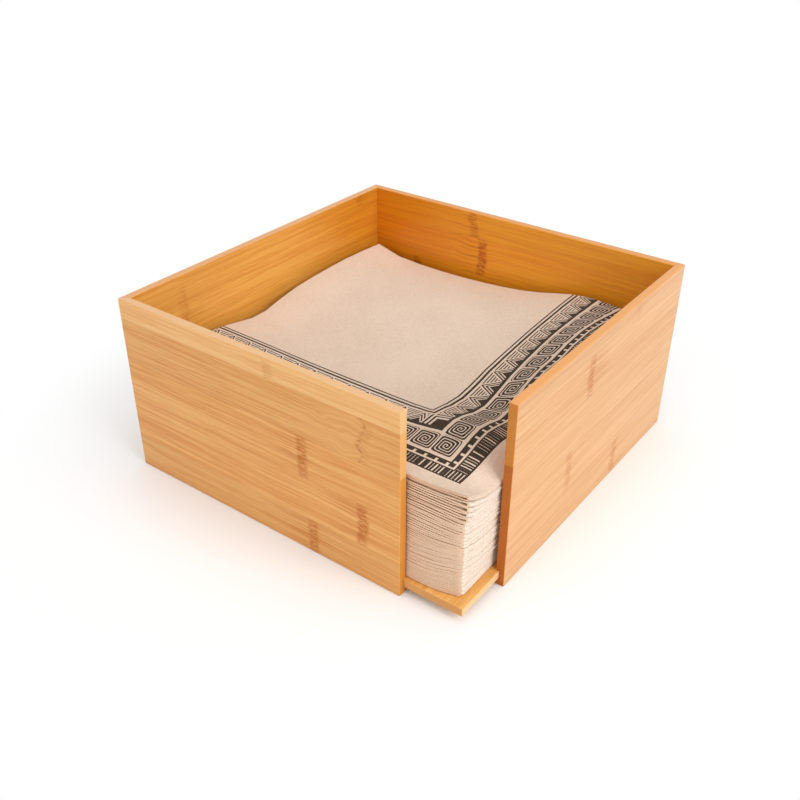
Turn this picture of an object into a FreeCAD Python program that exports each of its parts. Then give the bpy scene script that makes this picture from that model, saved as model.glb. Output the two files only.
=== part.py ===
# Open-topped square napkin tray of laminated bamboo, with the folded paper napkins that it holds.
#
# Millimetres. The origin is on the surface that the tray stands on, under the middle of its outline,
# +Z up. The open corner is at -X -Y. The left wall stands along -X, the front wall along -Y, the back
# wall along +Y and the right wall along +X. Each wall is a board of bamboo strips glued edge to edge.
# The walls meet in glued mitres, and a groove round their inside holds the base board.
import FreeCAD, Part
import Sketcher
import math
import os

from FreeCAD import Placement, Rotation, Vector

# Driving dimensions: alias, millimetres or a plain count, what it is.
DIMENSIONS = (
    ("napkin_side", 165, "a 33 cm napkin folded in quarters"),
    ("napkin_play", 7, "room inside the walls beyond the napkin's side"),
    ("wall_height", 86, "floor to rim"),
    ("wall_thickness", 4, "bamboo board"),
    ("left_opening", 30, "open corner, measured along the left wall"),
    ("front_opening", 29, "open corner, measured along the front wall"),
    ("strip_width", 20, "one bamboo strip of a board"),
    ("whole_strips", 3, "strips of a wall that the saw left whole, between its rim strip and foot strip"),
    ("left_rim_share", 0.35, "the rim strip's share of what the whole strips leave of the left wall"),
    ("front_rim_share", 0.27, "the same, front wall"),
    ("back_rim_share", 0.23, "the same, back wall"),
    ("right_rim_share", 0.52, "the same, right wall"),
    ("edge_round", 0.5, "sanded edges of the boards"),
    ("corner_round", 0.9, "sanded upright edges of the mitred corners"),
    ("groove_rise", 3.2, "floor to the groove's lower side"),
    ("groove_depth", 1.8, "groove into the wall"),
    ("groove_clearance", 0.2, "groove's height beyond the base board"),
    ("base_thickness", 4, "base board"),
    ("base_clearance", 0.3, "base board's edge to the groove's bottom"),
    ("napkin_left_gap", 0.5, "left wall to the napkins"),
    ("napkin_front_gap", 2.5, "front wall to the napkins"),
    ("fold_round", 7, "napkin's corner where both folds meet, in plan"),
    ("seat_gap", 0.3, "base to the lowest napkin, and stack to the top napkin"),
    ("pressed_thickness", 1.5, "one folded napkin low in the stack, pressed by those over it"),
    ("loose_thickness", 1.95, "one folded napkin high in the stack"),
    ("top_thickness", 2, "the top napkin"),
    ("napkin_gap", 0.1, "air between two napkins"),
    ("flat_napkins", 14, "pressed napkins that lie flat, from the base up"),
    ("wavy_napkins", 11, "loose napkins over them, each a little wavier than the one below"),
)

# The wave that the upper napkins lie in: where its hills and hollows are across the tray, from -1 at the
# left wall to 1 at the right wall, and how far the top of the stack stands above its level there.
WAVE = ((-1, 1.5), (-0.26, -3.5), (0.37, 3.5), (1, 0))
TRIM = 3  # a tool reaches this far past what it cuts
NEARLY = 1e-3  # two places this close are the same place

WHOLE_STRIPS = "Sizes.whole_strips * Sizes.strip_width"
INNER_SIDE = "(Sizes.napkin_side + Sizes.napkin_play)"
OUTER_SIDE = f"({INNER_SIDE} + 2 * Sizes.wall_thickness)"
GROOVE_SIDE = f"({INNER_SIDE} + 2 * Sizes.groove_depth)"
GROOVE_HEIGHT = "(Sizes.base_thickness + Sizes.groove_clearance)"
BASE_SIDE = f"({GROOVE_SIDE} - 2 * Sizes.base_clearance)"
STACK_FLOOR = "(Sizes.groove_rise + Sizes.base_thickness + Sizes.seat_gap)"
PRESSED_PITCH = "(Sizes.pressed_thickness + Sizes.napkin_gap)"
LOOSE_PITCH = "(Sizes.loose_thickness + Sizes.napkin_gap)"
NAPKIN_LEFT = f"(Sizes.napkin_left_gap - {INNER_SIDE} / 2)"
NAPKIN_FRONT = f"(Sizes.napkin_front_gap - {INNER_SIDE} / 2)"

doc = FreeCAD.newDocument("napkin_tray")
sheet = doc.addObject("Spreadsheet::Sheet", "Sizes")
for row, (alias, value, note) in enumerate(DIMENSIONS, start=1):
    sheet.set(f"A{row}", note)
    sheet.set(f"B{row}", str(value))
    sheet.setAlias(f"B{row}", alias)
doc.recompute()

# The same sizes as numbers, for counts, for picking edges and for the waves.
napkin_side = float(sheet.napkin_side)
inner_side = napkin_side + float(sheet.napkin_play)
wall_height = float(sheet.wall_height)
strip_width = float(sheet.strip_width)
seat_gap = float(sheet.seat_gap)
base_side = inner_side + 2 * float(sheet.groove_depth) - 2 * float(sheet.base_clearance)
stack_floor = float(sheet.groove_rise) + float(sheet.base_thickness) + seat_gap
pressed_pitch = float(sheet.pressed_thickness) + float(sheet.napkin_gap)
loose_thickness = float(sheet.loose_thickness)
loose_pitch = loose_thickness + float(sheet.napkin_gap)
whole_strips = int(sheet.whole_strips)
flat_napkins = int(sheet.flat_napkins)
wavy_napkins = int(sheet.wavy_napkins)


def bind(thing, path, formula):
    thing.setExpression(path, formula)


# ---------------------------------------------------------------------------------------------------
# Sketches and features
# ---------------------------------------------------------------------------------------------------
def rectangle_sketch(body, name, sides, height="0"):
    """A rectangle on the body's own XY plane, lifted by height. Its sides are formulas, in the order
    left, right, front and back."""
    sketch = body.newObject("Sketcher::SketchObject", name)
    plane = [item for item in body.Origin.OriginFeatures if item.Role == "XY_Plane"][0]
    sketch.AttachmentSupport = [(plane, "")]
    sketch.MapMode = "FlatFace"
    bind(sketch, "AttachmentOffset.Base.z", height)
    corners = [Vector(-1, -1, 0), Vector(1, -1, 0), Vector(1, 1, 0), Vector(-1, 1, 0)]
    for start, end in zip(corners, corners[1:] + corners[:1]):
        sketch.addGeometry(Part.LineSegment(start, end), False)
    for line in range(4):
        sketch.addConstraint(Sketcher.Constraint("Coincident", line, 2, (line + 1) % 4, 1))
        direction = "Vertical" if line % 2 else "Horizontal"
        sketch.addConstraint(Sketcher.Constraint(direction, line))
    # which coordinate of which corner lies on the left, right, front and back side
    places = (("DistanceX", 0, -1), ("DistanceX", 1, 1), ("DistanceY", 0, -1), ("DistanceY", 2, 1))
    for (kind, line, value), formula in zip(places, sides):
        place = Sketcher.Constraint(kind, -1, 1, line, 1, value)
        bind(sketch, f"Constraints[{sketch.addConstraint(place)}]", formula)
    return sketch


def square(side):
    """The four sides of a square round the origin, as formulas."""
    return (f"-{side} / 2", f"{side} / 2", f"-{side} / 2", f"{side} / 2")


def pad(body, name, sketch, length):
    feature = body.newObject("PartDesign::Pad", name)
    feature.Profile = sketch
    bind(feature, "Length", length)
    doc.recompute()
    return feature


def pocket(body, name, sketch, length):
    """Cuts upwards from the sketch, and makes sure that something was cut."""
    before = body.Shape.Volume
    feature = body.newObject("PartDesign::Pocket", name)
    feature.Profile = sketch
    feature.Reversed = True
    bind(feature, "Length", length)
    doc.recompute()
    if body.Shape.Volume >= before:
        raise RuntimeError(f"{name} cuts nothing")
    return feature


def fillet(body, name, wanted, radius):
    """Rounds the edges of the body's tip for which wanted(edge) is true."""
    tip = body.Tip
    names = [f"Edge{i}" for i, edge in enumerate(tip.Shape.Edges, start=1) if wanted(edge)]
    feature = body.newObject("PartDesign::Fillet", name)
    feature.Base = (tip, names)
    bind(feature, "Radius", radius)
    doc.recompute()
    return feature


def box(name, sizes, place, turn=0):
    """A box from formulas: its sizes along its own X, Y and Z, and where its first corner is."""
    thing = doc.addObject("Part::Box", name)
    thing.Placement = Placement(Vector(0, 0, 0), Rotation(Vector(0, 0, 1), turn))
    for path, formula in zip(("Length", "Width", "Height"), sizes):
        bind(thing, path, formula)
    for axis, formula in zip("xyz", place):
        bind(thing, f"Placement.Base.{axis}", formula)
    return thing


def common(name, base, tool):
    """The part of base inside tool, as a sub-part."""
    thing = doc.addObject("Part::Common", name)
    thing.Label = name
    thing.Base = base
    thing.Tool = tool
    sub_parts.append(thing)
    return thing


def is_upright(edge):
    low, high = edge.BoundBox.ZMin, edge.BoundBox.ZMax
    return high - low > NEARLY and edge.BoundBox.DiagonalLength - (high - low) < NEARLY


# ---------------------------------------------------------------------------------------------------
# Walls
# ---------------------------------------------------------------------------------------------------
def wall_frame():
    """All four walls as they stand glued up, grooved and sanded."""
    body = doc.addObject("PartDesign::Body", "wall_frame")
    outline = rectangle_sketch(body, "frame_outline", square(OUTER_SIDE))
    pad(body, "frame_block", outline, "Sizes.wall_height")
    inside = rectangle_sketch(body, "frame_inside", square(INNER_SIDE))
    pocket(body, "frame_hollow", inside, "Sizes.wall_height")
    groove = rectangle_sketch(body, "groove_outline", square(GROOVE_SIDE), "Sizes.groove_rise")
    pocket(body, "base_groove", groove, GROOVE_HEIGHT)
    corner_sides = (
        f"-{OUTER_SIDE} / 2 - {TRIM}",
        f"Sizes.front_opening - {OUTER_SIDE} / 2",
        f"-{OUTER_SIDE} / 2 - {TRIM}",
        f"Sizes.left_opening - {OUTER_SIDE} / 2",
    )
    opening = rectangle_sketch(body, "opening_outline", corner_sides)
    pocket(body, "open_corner", opening, "Sizes.wall_height")

    outer_half = inner_side / 2 + float(sheet.wall_thickness)
    groove_half = inner_side / 2 + float(sheet.groove_depth)

    def is_mitred_corner(edge):
        middle = edge.CenterOfMass
        return is_upright(edge) and min(abs(middle.x), abs(middle.y)) > outer_half - NEARLY

    def is_free_end(edge):
        """Upright, at the open corner, and not inside the groove."""
        middle = edge.CenterOfMass
        reach = max(abs(middle.x), abs(middle.y))
        in_open_corner = middle.x < 0 and middle.y < 0
        return is_upright(edge) and in_open_corner and abs(reach - groove_half) > NEARLY

    def is_rim_or_foot(edge):
        middle = edge.CenterOfMass
        level = edge.BoundBox.ZLength < NEARLY
        return level and (middle.z < NEARLY or middle.z > wall_height - NEARLY)

    fillet(body, "rounded_corners", is_mitred_corner, "Sizes.corner_round")
    fillet(body, "rounded_ends", is_free_end, "Sizes.edge_round")
    fillet(body, "rounded_rims", is_rim_or_foot, "Sizes.edge_round")
    return body


def wall_strips(frame, wall, turn, rim_share):
    """One wall of the frame, between its two mitres, parted at the glue lines between its strips.
    Strip 1 is the rim strip."""
    rim_strip = f"(Sizes.wall_height - {WHOLE_STRIPS}) * Sizes.{rim_share}"
    last = whole_strips + 2
    for number in range(1, last + 1):
        rise = f"Sizes.wall_height - {rim_strip} - {number - 1} * Sizes.strip_width"
        height = "Sizes.strip_width"
        if number == 1:
            height = f"{rim_strip} + {TRIM}"
        if number == last:
            height = f"{rise} + Sizes.strip_width + {TRIM}"
            rise = f"-{TRIM}"
        sizes = (OUTER_SIDE, OUTER_SIDE, height)
        level = box(f"{wall}_level_{number}", sizes, ("0", "0", rise), turn)
        common(f"{wall}_strip_{number}", frame, level)


# ---------------------------------------------------------------------------------------------------
# Base board
# ---------------------------------------------------------------------------------------------------
def base_strips():
    """The base board lies on the groove's lower side and is parted into strips that run along X."""
    body = doc.addObject("PartDesign::Body", "base_board")
    outline = rectangle_sketch(body, "base_outline", square(BASE_SIDE), "Sizes.groove_rise")
    pad(body, "base_block", outline, "Sizes.base_thickness")
    fillet(body, "base_edges", lambda edge: True, "Sizes.edge_round")
    count = math.ceil(base_side / strip_width)
    for number in range(1, count + 1):
        sizes = (OUTER_SIDE, "Sizes.strip_width", "Sizes.wall_height")
        front = f"({number - 1} - {count} / 2) * Sizes.strip_width"
        row = box(f"base_row_{number}", sizes, (f"-{OUTER_SIDE} / 2", front, "0"))
        common(f"base_strip_{number}", body, row)


# ---------------------------------------------------------------------------------------------------
# Napkins
# ---------------------------------------------------------------------------------------------------
def napkin_outline():
    """A folded napkin's outline from above, as a column that is taller than the whole stack."""
    body = doc.addObject("PartDesign::Body", "napkin_column")
    right = f"{NAPKIN_LEFT} + Sizes.napkin_side"
    back = f"{NAPKIN_FRONT} + Sizes.napkin_side"
    outline = rectangle_sketch(body, "napkin_square", (NAPKIN_LEFT, right, NAPKIN_FRONT, back))
    stack = f"Sizes.flat_napkins * {PRESSED_PITCH} + Sizes.wavy_napkins * {LOOSE_PITCH}"
    pad(body, "napkin_block", outline, f"{STACK_FLOOR} + {stack} + Sizes.wall_height")

    def is_fold_corner(edge):
        return is_upright(edge) and edge.CenterOfMass.x + edge.CenterOfMass.y < -napkin_side / 2

    fillet(body, "fold_corner", is_fold_corner, "Sizes.fold_round")
    return body


def swing(start, end):
    """From a hill to the next hollow or back, level at both ends: two equal arcs that meet halfway."""
    run = end.x - start.x
    climb = end.z - start.z
    if abs(climb) < NEARLY:
        return [Part.makeLine(start, end)]
    radius = (run**2 + climb**2) / (4 * abs(climb))
    half_turn = math.asin(run / (2 * radius)) / 2
    across = radius * math.sin(half_turn)
    up = math.copysign(radius * (1 - math.cos(half_turn)), climb)
    middle = (start + end) / 2
    first = Part.Arc(start, start + Vector(across, 0, up), middle)
    second = Part.Arc(middle, end - Vector(across, 0, up), end)
    return [first.toShape(), second.toShape()]


def wavy_slab(name, bottom, top):
    """A slab as deep as the tray between two waves, each given as its level and its share of the wave."""
    half = inner_side / 2
    edges = []
    corners = []
    for level, share in (bottom, top):
        points = [Vector(half * across, 0, level + share * rise) for across, rise in WAVE]
        for start, end in zip(points, points[1:]):
            edges += swing(start, end)
        corners += [points[0], points[-1]]
    edges.append(Part.makeLine(corners[0], corners[2]))
    edges.append(Part.makeLine(corners[1], corners[3]))
    profile = doc.addObject("Part::Feature", f"{name}_profile")
    profile.Shape = Part.Face(Part.Wire(Part.__sortEdges__(edges)))
    slab = doc.addObject("Part::Extrusion", name)
    slab.Base = profile
    slab.DirMode = "Custom"
    slab.Dir = Vector(0, 1, 0)
    slab.Solid = True
    slab.Symmetric = True
    bind(slab, "LengthFwd", OUTER_SIDE)
    return slab


def napkins(outline):
    """The flat napkins, the wavy ones over them, and the top napkin that is taken first."""
    for number in range(1, flat_napkins + 1):
        sizes = (OUTER_SIDE, OUTER_SIDE, "Sizes.pressed_thickness")
        rise = f"{STACK_FLOOR} + {number - 1} * {PRESSED_PITCH}"
        place = (f"-{OUTER_SIDE} / 2", f"-{OUTER_SIDE} / 2", rise)
        common(f"napkin_{number:02d}", outline, box(f"napkin_level_{number:02d}", sizes, place))
    loose_floor = stack_floor + flat_napkins * pressed_pitch
    for layer in range(1, wavy_napkins + 1):
        number = flat_napkins + layer
        floor = loose_floor + (layer - 1) * loose_pitch
        bottom = (floor, (layer - 1) / wavy_napkins)
        top = (floor + loose_thickness, layer / wavy_napkins)
        common(f"napkin_{number:02d}", outline, wavy_slab(f"napkin_wave_{number:02d}", bottom, top))
    under = loose_floor + wavy_napkins * loose_pitch + seat_gap
    over = under + float(sheet.top_thickness)
    common("top_napkin", outline, wavy_slab("top_napkin_wave", (under, 1), (over, 1)))


# ---------------------------------------------------------------------------------------------------
# The tray
# ---------------------------------------------------------------------------------------------------
def check_and_write():
    """Stops on anything that failed, then writes each sub-part to its own file."""
    doc.recompute()
    for thing in doc.Objects:
        if "Invalid" in thing.State or "Error" in thing.State:
            raise RuntimeError(f"{thing.Name} failed: {thing.State}")
    for thing in sub_parts:
        shape = thing.Shape
        if shape.isNull() or not shape.isValid() or len(shape.Solids) != 1 or shape.Volume <= 0:
            raise RuntimeError(f"{thing.Label} isn't one sound solid")
    os.makedirs("parts", exist_ok=True)
    for thing in sub_parts:
        thing.Shape.exportStep(f"parts/{thing.Label}.step")


sub_parts = []
walls = wall_frame()
wall_strips(walls, "left_wall", 135, "left_rim_share")
wall_strips(walls, "front_wall", 225, "front_rim_share")
wall_strips(walls, "back_wall", 45, "back_rim_share")
wall_strips(walls, "right_wall", -45, "right_rim_share")
base_strips()
napkins(napkin_outline())
check_and_write()
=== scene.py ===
import math
import random

import bpy
from mathutils import Matrix, Vector


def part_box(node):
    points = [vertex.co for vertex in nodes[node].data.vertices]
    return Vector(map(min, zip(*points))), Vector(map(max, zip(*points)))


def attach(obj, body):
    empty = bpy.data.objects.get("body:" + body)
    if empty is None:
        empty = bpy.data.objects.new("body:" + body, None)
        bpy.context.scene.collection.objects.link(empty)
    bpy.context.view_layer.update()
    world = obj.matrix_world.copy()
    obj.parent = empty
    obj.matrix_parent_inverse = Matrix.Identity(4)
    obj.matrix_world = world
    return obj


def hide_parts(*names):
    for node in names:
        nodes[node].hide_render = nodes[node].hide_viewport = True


MM = 0.001

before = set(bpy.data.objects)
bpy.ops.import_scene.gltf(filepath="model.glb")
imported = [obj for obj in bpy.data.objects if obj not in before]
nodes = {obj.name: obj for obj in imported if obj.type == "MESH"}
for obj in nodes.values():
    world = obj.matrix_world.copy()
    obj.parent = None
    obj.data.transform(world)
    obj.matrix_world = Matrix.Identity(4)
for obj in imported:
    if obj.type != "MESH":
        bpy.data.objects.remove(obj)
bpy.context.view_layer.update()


# ---- Studio ------------------------------------------------------------------
CAMERA_PLACE = (-0.31167, -0.22243, 0.26429)
CAMERA_RIGHT = (0.59427, -0.80425, 0.00472)  # the way that is to the right in its picture
CAMERA_LOOK = (0.68242, 0.50112, -0.53215)
CAMERA_LENS = 42.63  # millimetres, and so is the sensor's width
CAMERA_SENSOR = 36
CAMERA_NEAR = 0.01

# name, place, width and height, watts; all are aimed at the middle of the tray
SOFTBOXES = (
    ("front_softbox", (-0.10, -1.15, 0.85), 0.9, 12.0),
    ("left_softbox", (-1.25, -0.10, 0.60), 0.8, 4.2),
    ("overhead_softbox", (0.05, 0.10, 1.40), 1.1, 5.2),
)
TRAY_MIDDLE = (0, 0, 0.04)
WORLD_LIGHT = 0.48
FLOOR_WHITE = 0.93
FLOOR_ROUGHNESS = 0.9
FLOOR_SPECULAR = 0.2
FLOOR_SIDE = 24.0
FLOOR_FADE = (0.10, 0.21)  # how far from the tray the floor starts and ends turning into plain white


def deselect():
    if bpy.context.object and bpy.context.object.mode != "OBJECT":
        bpy.ops.object.mode_set(mode="OBJECT")
    bpy.ops.object.select_all(action="DESELECT")


def add_camera():
    data = bpy.data.cameras.new("studio_camera")
    data.sensor_width = CAMERA_SENSOR
    data.lens = CAMERA_LENS
    data.clip_start = CAMERA_NEAR
    camera = bpy.data.objects.new("studio_camera", data)
    bpy.context.scene.collection.objects.link(camera)
    right = Vector(CAMERA_RIGHT).normalized()
    back = -Vector(CAMERA_LOOK).normalized()
    up = back.cross(right).normalized()
    turn = Matrix((right, up, back)).transposed().to_4x4()
    camera.matrix_world = Matrix.Translation(CAMERA_PLACE) @ turn
    bpy.context.scene.camera = camera


def add_softbox(name, place, size, watts):
    data = bpy.data.lights.new(name, "AREA")
    data.shape = "SQUARE"
    data.size = size
    data.energy = watts
    lamp = bpy.data.objects.new(name, data)
    bpy.context.scene.collection.objects.link(lamp)
    lamp.location = place
    aim = Vector(TRAY_MIDDLE) - Vector(place)
    lamp.rotation_euler = aim.to_track_quat("-Z", "Y").to_euler()


def plain_white_rays(tree):
    """1 for the rays that should find a plain white background: direct, mirrored or through glass."""
    rays = tree.nodes.new("ShaderNodeLightPath")
    seen = Field(tree, rays.outputs["Is Camera Ray"])
    for ray in ("Is Glossy Ray", "Is Transmission Ray"):
        seen = seen.max(Field(tree, rays.outputs[ray]))
    return seen


def set_world():
    world = bpy.data.worlds.new("studio_world")
    bpy.context.scene.world = world
    world.use_nodes = True
    tree = world.node_tree
    strength = plain_white_rays(tree) * (1 - WORLD_LIGHT) + WORLD_LIGHT
    background = tree.nodes["Background"]
    background.inputs["Color"].default_value = (1, 1, 1, 1)
    tree.links.new(strength.socket, background.inputs["Strength"])


def add_floor():
    """A white floor that keeps the tray's soft shadow and is plain white further out."""
    deselect()
    bpy.ops.mesh.primitive_plane_add(size=FLOOR_SIDE)
    floor = bpy.context.object
    floor.name = "floor"
    material, tree, shader = new_material("floor_white")
    shader.inputs["Base Color"].default_value = (FLOOR_WHITE, FLOOR_WHITE, FLOOR_WHITE, 1)
    shader.inputs["Roughness"].default_value = FLOOR_ROUGHNESS
    shader.inputs["Specular IOR Level"].default_value = FLOOR_SPECULAR
    glow = tree.nodes.new("ShaderNodeEmission")
    place = tree.nodes.new("ShaderNodeTexCoord")
    distance = tree.nodes.new("ShaderNodeVectorMath")
    distance.operation = "LENGTH"
    tree.links.new(place.outputs["Object"], distance.inputs[0])
    out = Field(tree, distance.outputs["Value"]).ramp(*FLOOR_FADE)
    mix = tree.nodes.new("ShaderNodeMixShader")
    tree.links.new((out * plain_white_rays(tree)).socket, mix.inputs["Fac"])
    tree.links.new(shader.outputs["BSDF"], mix.inputs[1])
    tree.links.new(glow.outputs["Emission"], mix.inputs[2])
    tree.links.new(mix.outputs["Shader"], tree.nodes["Material Output"].inputs["Surface"])
    floor.data.materials.append(material)


# ---- Numbers and patterns on a surface ---------------------------------------
class Field:
    """A number that changes over a surface. Arithmetic on it adds the maths nodes that work it out."""

    def __init__(self, tree, socket):
        self.tree = tree
        self.socket = socket

    def maths(self, operation, *others):
        node = self.tree.nodes.new("ShaderNodeMath")
        node.operation = operation
        for slot, value in enumerate((self, *others)):
            if isinstance(value, Field):
                self.tree.links.new(value.socket, node.inputs[slot])
            else:
                node.inputs[slot].default_value = value
        return Field(self.tree, node.outputs[0])

    def __add__(self, other):
        return self.maths("ADD", other)

    def __sub__(self, other):
        return self.maths("SUBTRACT", other)

    def __mul__(self, other):
        return self.maths("MULTIPLY", other)

    def __truediv__(self, other):
        return self.maths("DIVIDE", other)

    def min(self, other):
        return self.maths("MINIMUM", other)

    def max(self, other):
        return self.maths("MAXIMUM", other)

    def size(self):
        return self.maths("ABSOLUTE")

    def flip(self):
        """1 becomes 0 and 0 becomes 1."""
        return self.maths("MULTIPLY_ADD", -1, 1)

    def wrap(self, pitch):
        """How far to the nearest multiple of pitch, from -pitch / 2 to pitch / 2."""
        return self.maths("WRAP", pitch / 2, -pitch / 2)

    def over(self, limit):
        return self.maths("GREATER_THAN", limit)

    def under(self, limit):
        return self.maths("LESS_THAN", limit)

    def between(self, low, high):
        return self.over(low) * self.under(high)

    def bell(self, width):
        """1 at 0, falling smoothly to nothing past about twice the width."""
        share = self / width
        return (share * share * -1).maths("EXPONENT")

    def ramp(self, low, high):
        """0 up to low, 1 from high on, smooth between them."""
        node = self.tree.nodes.new("ShaderNodeMapRange")
        node.interpolation_type = "SMOOTHSTEP"
        self.tree.links.new(self.socket, node.inputs["Value"])
        node.inputs["From Min"].default_value = low
        node.inputs["From Max"].default_value = high
        return Field(self.tree, node.outputs["Result"])


def paint(red, green, blue):
    """A colour as the shader takes it, from the 0 to 255 values that it shows as."""
    values = []
    for value in (red, green, blue):
        share = value / 255
        values.append(share / 12.92 if share <= 0.04045 else ((share + 0.055) / 1.055) ** 2.4)
    return (*values, 1)


def parts_of(tree, vector):
    """The three numbers of a vector."""
    node = tree.nodes.new("ShaderNodeSeparateXYZ")
    tree.links.new(vector, node.inputs[0])
    return [Field(tree, socket) for socket in node.outputs]


def vector_of(tree, *numbers):
    node = tree.nodes.new("ShaderNodeCombineXYZ")
    for slot, value in enumerate(numbers):
        if isinstance(value, Field):
            tree.links.new(value.socket, node.inputs[slot])
        else:
            node.inputs[slot].default_value = value
    return node.outputs[0]


def noise(tree, place, detail, roughness=0.5):
    """Soft random blotches, 0.5 on average; place is already scaled to about one blotch per unit."""
    node = tree.nodes.new("ShaderNodeTexNoise")
    node.inputs["Scale"].default_value = 1
    node.inputs["Detail"].default_value = detail
    node.inputs["Roughness"].default_value = roughness
    tree.links.new(place, node.inputs["Vector"])
    return Field(tree, node.outputs["Fac"])


def blend_colours(tree, share, first, second, how="MIX"):
    """first where share is 0 and second, or first changed by second, where it is 1."""
    node = tree.nodes.new("ShaderNodeMix")
    node.data_type = "RGBA"
    node.blend_type = how
    for label, value in (("Factor", share), ("A", first), ("B", second)):
        socket = [item for item in node.inputs if item.name == label and item.enabled][0]
        if isinstance(value, Field):
            tree.links.new(value.socket, socket)
        elif isinstance(value, bpy.types.NodeSocket):
            tree.links.new(value, socket)
        else:
            socket.default_value = value
    return [item for item in node.outputs if item.enabled][0]


def new_group(name, inputs, outputs):
    """A shader group with these named sockets; returns its tree and its inputs and outputs by name."""
    kinds = {"number": "NodeSocketFloat", "vector": "NodeSocketVector", "colour": "NodeSocketColor"}
    tree = bpy.data.node_groups.new(name, "ShaderNodeTree")
    for label, kind in inputs:
        tree.interface.new_socket(label, in_out="INPUT", socket_type=kinds[kind])
    for label, kind in outputs:
        tree.interface.new_socket(label, in_out="OUTPUT", socket_type=kinds[kind])
    start = tree.nodes.new("NodeGroupInput")
    end = tree.nodes.new("NodeGroupOutput")
    return tree, start.outputs, end.inputs


def new_material(name):
    """A material with its shader; returns the material, its tree and the shader."""
    material = bpy.data.materials.new(name)
    material.use_nodes = True
    tree = material.node_tree
    return material, tree, tree.nodes["Principled BSDF"]


def use_group(tree, group, **values):
    """Places a group in a material; values are set or linked by the sockets' names, _ for a space."""
    node = tree.nodes.new("ShaderNodeGroup")
    node.node_tree = group
    for label, value in values.items():
        socket = node.inputs[label.replace("_", " ")]
        if isinstance(value, bpy.types.NodeSocket):
            tree.links.new(value, socket)
        else:
            socket.default_value = value
    return node.outputs


def add_bump(tree, shader, height, depth):
    bump = tree.nodes.new("ShaderNodeBump")
    bump.inputs["Strength"].default_value = 1
    bump.inputs["Distance"].default_value = depth
    tree.links.new(height, bump.inputs["Height"])
    tree.links.new(bump.outputs["Normal"], shader.inputs["Normal"])


# ---- Bamboo ------------------------------------------------------------------
# Where the bamboo's features lie and how far they reach, in metres on the strip.
FIBRE_SWAY = 0.0005  # how far the fibres stray across the strip
SWIRL_SWAY = 0.007  # how far they stray beside a wavy knot, around this place past it
SWIRL_PLACE = 0.011
SWIRL_REACH = 0.018
KNOT_CROOK = 0.003  # how crooked a straight knot is, and how much more so a wavy one
WAVY_CROOK = 0.006
KNOT_FADE = (0.0012, 0.0036)  # where the brown of a knot starts and ends fading
HALO_PLACE = 0.005  # the darker fibres that lead to a knot
HALO_REACH = 0.010
PORE_PLACE = 0.0014  # the row of pores beside a knot
PORE_REACH = 0.0009
SEAM_REACH = 0.00022  # about half a glue line
CORNER_SHADE_FADE = (0, 0.075)  # along which an inner face is painted deeper still: painted shade towards the tray's far inner corner
FIBRE_RELIEF = 0.00006  # as deep as all fibres, the fine ones and the pores make it by these shares
FIBRE_DEPTH = 0.5
FINE_DEPTH = 0.5
PORE_DEPTH = 0.8

# The noise in the bamboo: how many blotches it has to the metre along the strip, across it and through
# the board, how far a strip's own seed moves it along each of these, its detail and its roughness.
SWAY = ((30, 110, 60), (1, -1, 0), 2, 0.5)
SWIRL = ((85, 130, 60), (1, 0, 0), 1, 0.5)
BROAD_FIBRES = ((4, 130, 60), (-1, 1, 0), 1, 0.5)
MIDDLE_FIBRES = ((14, 640, 300), (1, 0, -1), 1, 0.5)
FINE_FIBRES = ((42, 1600, 1200), (0, 1, 1), 2, 0.6)
KNOT_FLECKS = ((330, 1100, 700), (1, 0, 0), 2, 0.5)
PORE_DASHES = ((260, 900, 700), (0, 1, 0), 1, 0.5)
CROOK_PER_METRE = (150, 200)  # across the strip and through the board
DOTS_PER_METRE = 1500

BROAD_SHARE = 0.24
MIDDLE_SHARE = 0.30
FINE_SHARE = 0.46
FIBRE_CONTRAST = (0.36, 0.64)  # between these the mixed noise goes from the pale to the deep colour
WAVY_PALING = 0.35  # how much of their dark the fibres beside a wavy knot lose

KNOT_THINNING = 0.45  # how much of a knot's brown is gone at the two edges of its strip
KNOT_COVER = 0.95  # how far the brown hides the fibres
SOLID_SHARE = 0.3  # how much of the brown is everywhere in the knot, and how much is in its flecks
FLECK_SHARE = 0.75
FLECK_CONTRAST = (0.38, 0.62)
HALO_SHARE = 0.45
HALO_CONTRAST = (0.42, 0.62)
STRAIGHT_PORES = 0.4  # how dark the pores beside a straight knot are, and beside a wavy one
WAVY_PORES = 0.7
PORE_CONTRAST = (0.47, 0.57)
SEAM_SHADE = 0.18

# How squarely a face looks inward, up or along before it starts to count as, and fully is, an inner
# face, a planed edge or a sawn end.
INNER_TURN = (0.4, 0.9)
RIM_TURN = (0.6, 0.9)
END_TURN = (0.55, 0.85)
RIM_FIBRES = 0.3  # how much of the fibres' dark still shows on a planed edge
END_DOTS = 0.12  # and how dark the dots on a sawn end are
DOT_CONTRAST = (0.35, 0.75)

VARNISH_ROUGHNESS = 0.36
VARNISH_SPECULAR = 0.4
VARNISH_COAT = 0.2
COAT_ROUGHNESS = 0.25
FIBRE_ROUGHER = 0.10  # what the dark fibres, a knot and a sawn end add to the varnish's roughness
KNOT_ROUGHER = 0.08
END_ROUGHER = 0.2

KNOT_BROWN = (184, 102, 0)
PORE_BROWN = (170, 90, 10)
SEAM_TINT = (190, 150, 110)
# painted shade: deepens the inner faces towards the tray's far inner corner
CORNER_SHADE_TINT = (238, 220, 153)


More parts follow.
